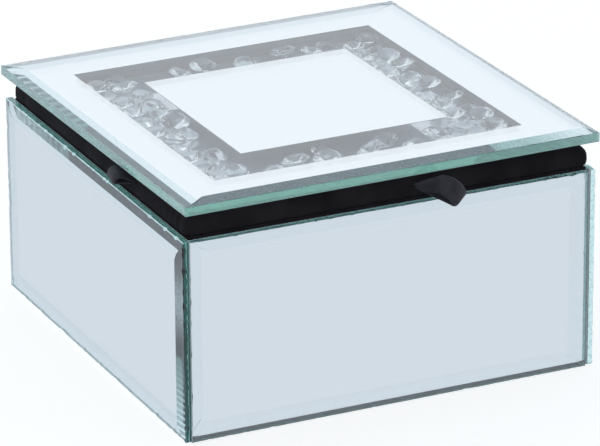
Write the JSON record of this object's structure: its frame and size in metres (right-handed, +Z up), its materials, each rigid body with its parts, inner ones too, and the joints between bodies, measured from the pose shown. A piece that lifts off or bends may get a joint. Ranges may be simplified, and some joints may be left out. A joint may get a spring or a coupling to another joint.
{
  "type": "mirrored trinket box",
  "caption": "Square mirrored trinket box with a velvet lining and a hinged bevelled glass lid that shows loose crystals, opened by a ribbon pull.",
  "frame": {"origin": "centre of the underside, at the level that the box stands on", "axes": "+Z up, +X to the right along the front, +Y to the hinged back"},
  "size_m": [0.1558, 0.1694, 0.0836],
  "materials": {
    "wall_glass": "clear bevelled glass with ground green edges",
    "plate_glass": "clear bevelled glass, green at its edge",
    "silvering": "silvered, grey paint behind",
    "velvet": "black velvet",
    "ribbon": "black satin ribbon",
    "crystal": "clear cut acrylic",
    "mdf": "raw fibreboard",
    "felt": "black felt",
    "hinge_steel": "nickel plated",
    "screw_steel": "nickel plated"
  },
  "bodies": {
    "base": {"felt_base_pad": "felt", "base_board": "mdf", "front_board": "mdf", "back_board": "mdf", "left_board": "mdf", "right_board": "mdf", "front_velvet_lining": "velvet", "back_velvet_lining": "velvet", "left_velvet_lining": "velvet", "right_velvet_lining": "velvet", "velvet_floor_pad": "velvet", "front_mirror_glass": "wall_glass", "back_mirror_glass": "wall_glass", "left_mirror_glass": "wall_glass", "right_mirror_glass": "wall_glass", "front_silvering": "silvering", "back_silvering": "silvering", "left_silvering": "silvering", "right_silvering": "silvering", "left_hinge_base_leaf": "hinge_steel", "left_hinge_pin": "hinge_steel", "right_hinge_base_leaf": "hinge_steel", "right_hinge_pin": "hinge_steel", "hinge_base_screws": "screw_steel"},
    "lid": {"lid_board": "mdf", "tray_mirror_floor": "silvering", "tray_front_rail": "mdf", "tray_back_rail": "mdf", "tray_left_rail": "mdf", "tray_right_rail": "mdf", "lid_velvet_cover": "velvet", "lid_lining_card": "velvet", "lid_glass_plate": "plate_glass", "lid_border_silvering": "silvering", "lid_centre_silvering": "silvering", "crystals": "crystal", "front_pull_ribbon": "ribbon", "side_pull_ribbon": "ribbon", "left_hinge_lid_leaf": "hinge_steel", "right_hinge_lid_leaf": "hinge_steel", "hinge_lid_screws": "screw_steel"}
  },
  "joints": [
    {"name": "lid_hinge", "type": "hinge", "parent": "base", "child": "lid", "pos_m": [0, 0.0769, 0.0712], "axis": [-1, 0, 0], "range_deg": [0, 100]}
  ]
}
